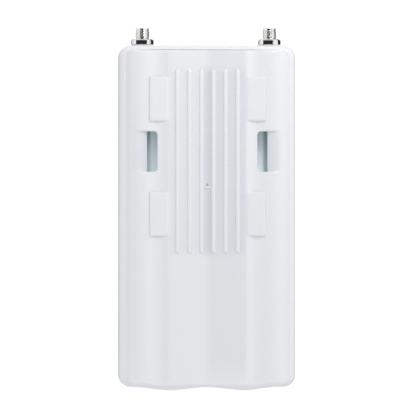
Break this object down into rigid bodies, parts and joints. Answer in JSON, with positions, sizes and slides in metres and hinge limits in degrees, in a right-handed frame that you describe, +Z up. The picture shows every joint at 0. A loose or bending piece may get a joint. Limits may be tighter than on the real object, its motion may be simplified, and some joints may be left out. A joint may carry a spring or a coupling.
{
  "type": "outdoor wireless bridge",
  "caption": "Weatherproof outdoor radio bridge with threaded antenna connectors on top, a ribbed strap-on back and a sliding door over its Ethernet port.",
  "frame": {"origin": "middle of the pole seat: centred between the two strap slots, on the plane of the bearing pads' outer edges", "axes": "+Z up towards the antenna connectors, -Y out of the back towards the pole, +X right when the back is looked at"},
  "size_m": [0.08, 0.0299, 0.1649],
  "materials": {
    "housing_white": "semi-gloss cool white moulded plastic, UV stable",
    "channel_grey": "matt pale grey-green moulded plastic",
    "seal_rubber": "matt black silicone",
    "board_green": "green solder mask over glass fibre",
    "spreader_aluminium": "rolled sheet",
    "thermal_silicone": "soft pale blue",
    "screw_steel": "zinc plated",
    "shield_tin": "tin plated sheet",
    "chip_black": "moulded epoxy",
    "inductor_grey": "pressed ferrite",
    "capacitor_aluminium": "drawn can",
    "arrestor_ceramic": "glazed pink ceramic",
    "led_lens": "clear tinted resin",
    "pipe_clear": "clear polycarbonate",
    "socket_black": "glass-filled nylon",
    "button_black": "moulded",
    "contact_gold": "gold plated",
    "connector_nickel": "bright nickel plated brass",
    "insulator_white": "PTFE",
    "coax_jacket": "FEP jacket"
  },
  "bodies": {
    "housing": {"front_shell": "housing_white", "rear_cover": "housing_white", "strap_channel": "channel_grey", "cover_gasket": "seal_rubber", "circuit_board": "board_green", "heat_spreader": "spreader_aluminium", "thermal_pads": "thermal_silicone", "board_screws": "screw_steel", "processor_shield": "shield_tin", "processor_chip": "chip_black", "memory_chips": "chip_black", "radio_shield": "shield_tin", "radio_chip": "chip_black", "power_amplifiers": "chip_black", "lan_transformer": "chip_black", "power_inductor": "inductor_grey", "power_capacitors": "capacitor_aluminium", "surge_arrestors": "arrestor_ceramic", "status_leds": "led_lens", "light_pipes": "pipe_clear", "ethernet_shield": "shield_tin", "ethernet_insert": "socket_black", "ethernet_contacts": "contact_gold", "reset_switch": "socket_black", "rf_body_left": "connector_nickel", "rf_nut_left": "connector_nickel", "rf_insulator_left": "insulator_white", "rf_center_pin_left": "contact_gold", "rf_seal_left": "seal_rubber", "coax_cable_left": "coax_jacket", "rf_body_right": "connector_nickel", "rf_nut_right": "connector_nickel", "rf_insulator_right": "insulator_white", "rf_center_pin_right": "contact_gold", "rf_seal_right": "seal_rubber", "coax_cable_right": "coax_jacket", "coax_plugs": "contact_gold"},
    "door": {"port_door": "housing_white"},
    "button": {"reset_button": "button_black"}
  },
  "joints": [
    {"name": "door_slide", "type": "slide", "parent": "housing", "child": "door", "axis": [0, 0, -1], "range_m": [0, 0.04]},
    {"name": "reset_press", "type": "slide", "parent": "housing", "child": "button", "axis": [0, 0, 1], "range_m": [0, 0.0003], "stiffness_N_per_m": 4000}
  ]
}
